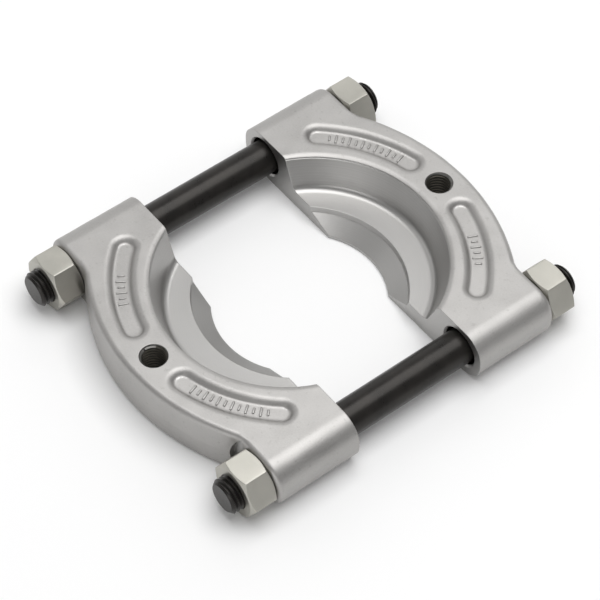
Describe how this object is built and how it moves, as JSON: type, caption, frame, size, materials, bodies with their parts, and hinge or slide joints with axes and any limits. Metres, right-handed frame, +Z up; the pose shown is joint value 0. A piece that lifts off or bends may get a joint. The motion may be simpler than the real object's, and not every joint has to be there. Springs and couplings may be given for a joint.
{
  "type": "bearing separator",
  "caption": "Split bearing separator: forged half-ring jaws with knife edges, drawn together by nuts on parallel studs, with threaded holes for puller bolts.",
  "frame": {"origin": "midway between the jaws and between the studs, on the plane of the jaws' flat bottom faces", "axes": "+X from the left stud to the right stud, +Y along the studs from the front jaw to the rear jaw, +Z up through the jaws' thickness"},
  "size_m": [0.162, 0.185, 0.025],
  "materials": {
    "forged_jaw": "satin grey forged and tumbled steel, brighter where it is machined",
    "black_stud": "black oxide, slightly oily",
    "plated_nut": "satin zinc plating"
  },
  "bodies": {
    "studs": {"left_stud": "black_stud", "right_stud": "black_stud"},
    "front_jaw": {"front_jaw": "forged_jaw"},
    "rear_jaw": {"rear_jaw": "forged_jaw"},
    "front_left_nut": {"front_left_nut": "plated_nut"},
    "front_right_nut": {"front_right_nut": "plated_nut"},
    "rear_left_nut": {"rear_left_nut": "plated_nut"},
    "rear_right_nut": {"rear_right_nut": "plated_nut"}
  },
  "joints": [
    {"name": "front_jaw_slide", "type": "slide", "parent": "studs", "child": "front_jaw", "axis": [0, 1, 0], "range_m": [-0.005, 0.032]},
    {"name": "front_left_nut_turn", "type": "hinge", "parent": "front_jaw", "child": "front_left_nut", "pos_m": [-0.067, -0.0804, 0.0125], "axis": [0, 1, 0], "range_deg": [-901, 5761]},
    {"name": "front_right_nut_turn", "type": "hinge", "parent": "front_jaw", "child": "front_right_nut", "pos_m": [0.067, -0.0804, 0.0125], "axis": [0, 1, 0], "range_deg": [-901, 5761]},
    {"name": "rear_jaw_slide", "type": "slide", "parent": "studs", "child": "rear_jaw", "axis": [0, -1, 0], "range_m": [-0.005, 0.032]},
    {"name": "rear_left_nut_turn", "type": "hinge", "parent": "rear_jaw", "child": "rear_left_nut", "pos_m": [-0.067, 0.0804, 0.0125], "axis": [0, -1, 0], "range_deg": [-901, 5761]},
    {"name": "rear_right_nut_turn", "type": "hinge", "parent": "rear_jaw", "child": "rear_right_nut", "pos_m": [0.067, 0.0804, 0.0125], "axis": [0, -1, 0], "range_deg": [-901, 5761]}
  ],
  "couplings": [
    {"joint": "front_left_nut_turn", "follows": "front_jaw_slide", "rad_per_m": 3141.6},
    {"joint": "front_right_nut_turn", "follows": "front_jaw_slide", "rad_per_m": 3141.6},
    {"joint": "rear_left_nut_turn", "follows": "rear_jaw_slide", "rad_per_m": 3141.6},
    {"joint": "rear_right_nut_turn", "follows": "rear_jaw_slide", "rad_per_m": 3141.6}
  ]
}
